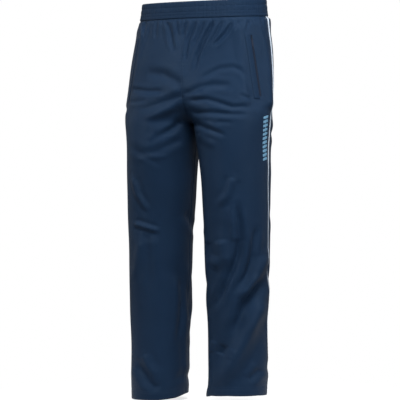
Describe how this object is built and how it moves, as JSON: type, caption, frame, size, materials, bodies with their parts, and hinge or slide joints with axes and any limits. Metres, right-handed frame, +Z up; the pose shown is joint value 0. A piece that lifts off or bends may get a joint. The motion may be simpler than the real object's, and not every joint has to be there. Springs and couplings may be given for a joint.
{
  "type": "training trousers",
  "caption": "Straight-leg knitted training trousers with an elasticated waistband, side piping and zipped welt pockets, shown filled out as if worn.",
  "frame": {"origin": "centre of the waist opening, level with the waistband's top edge at the side seams", "axes": "+Z up, from the hems to the waist; the wearer faces -Y; the wearer's left leg is on +X"},
  "size_m": [0.4234, 0.2702, 1.058],
  "materials": {
    "navy_knit": "brushed tricot knit with a soft sheen",
    "navy_band": "tricot knit, gathered and stitched over elastic",
    "white_piping": "satin",
    "navy_lining": "matt",
    "white_elastic": "ribbed, matt",
    "zip_tape": "woven, matt",
    "zip_coil": "satin nylon",
    "zip_metal": "satin enamel",
    "pull_rubber": "moulded, matt",
    "light_blue_print": "rubbery transfer print, satin",
    "label_satin": "satin"
  },
  "bodies": {
    "trousers": {"left_front_panel": "navy_knit", "left_back_panel": "navy_knit", "left_side_piping": "white_piping", "left_hem_turn_up": "navy_lining", "left_pocket_bag_outer": "navy_lining", "left_pocket_bag_inner": "navy_lining", "left_pocket_welt": "navy_knit", "left_zip_tape_front": "zip_tape", "left_zip_coil_front": "zip_coil", "left_zip_tape_back": "zip_tape", "left_zip_coil_back": "zip_coil", "left_zip_stop_top": "zip_coil", "left_zip_stop_bottom": "zip_coil", "right_front_panel": "navy_knit", "right_back_panel": "navy_knit", "right_side_piping": "white_piping", "right_hem_turn_up": "navy_lining", "right_pocket_bag_outer": "navy_lining", "right_pocket_bag_inner": "navy_lining", "right_pocket_welt": "navy_knit", "right_zip_tape_front": "zip_tape", "right_zip_coil_front": "zip_coil", "right_zip_tape_back": "zip_tape", "right_zip_coil_back": "zip_coil", "right_zip_stop_top": "zip_coil", "right_zip_stop_bottom": "zip_coil", "left_thigh_motif": "light_blue_print", "waistband_casing": "navy_band", "waist_elastic": "white_elastic", "care_label": "label_satin"},
    "left_slider": {"left_zip_slider": "zip_metal"},
    "left_puller": {"left_zip_puller": "pull_rubber"},
    "right_slider": {"right_zip_slider": "zip_metal"},
    "right_puller": {"right_zip_puller": "pull_rubber"}
  },
  "joints": [
    {"name": "left_zip_slide", "type": "slide", "parent": "trousers", "child": "left_slider", "axis": [0.1664, -0.0097, -0.986], "range_m": [0, 0.148]},
    {"name": "left_puller_flip", "type": "hinge", "parent": "left_slider", "child": "left_puller", "pos_m": [0.16754, -0.06446, -0.10804], "axis": [-0.5803, -0.8094, -0.0899], "range_deg": [0, 170]},
    {"name": "right_zip_slide", "type": "slide", "parent": "trousers", "child": "right_slider", "axis": [-0.1664, -0.0097, -0.986], "range_m": [0, 0.148]},
    {"name": "right_puller_flip", "type": "hinge", "parent": "right_slider", "child": "right_puller", "pos_m": [-0.16754, -0.06446, -0.10804], "axis": [-0.5803, 0.8094, 0.0899], "range_deg": [0, 170]}
  ]
}
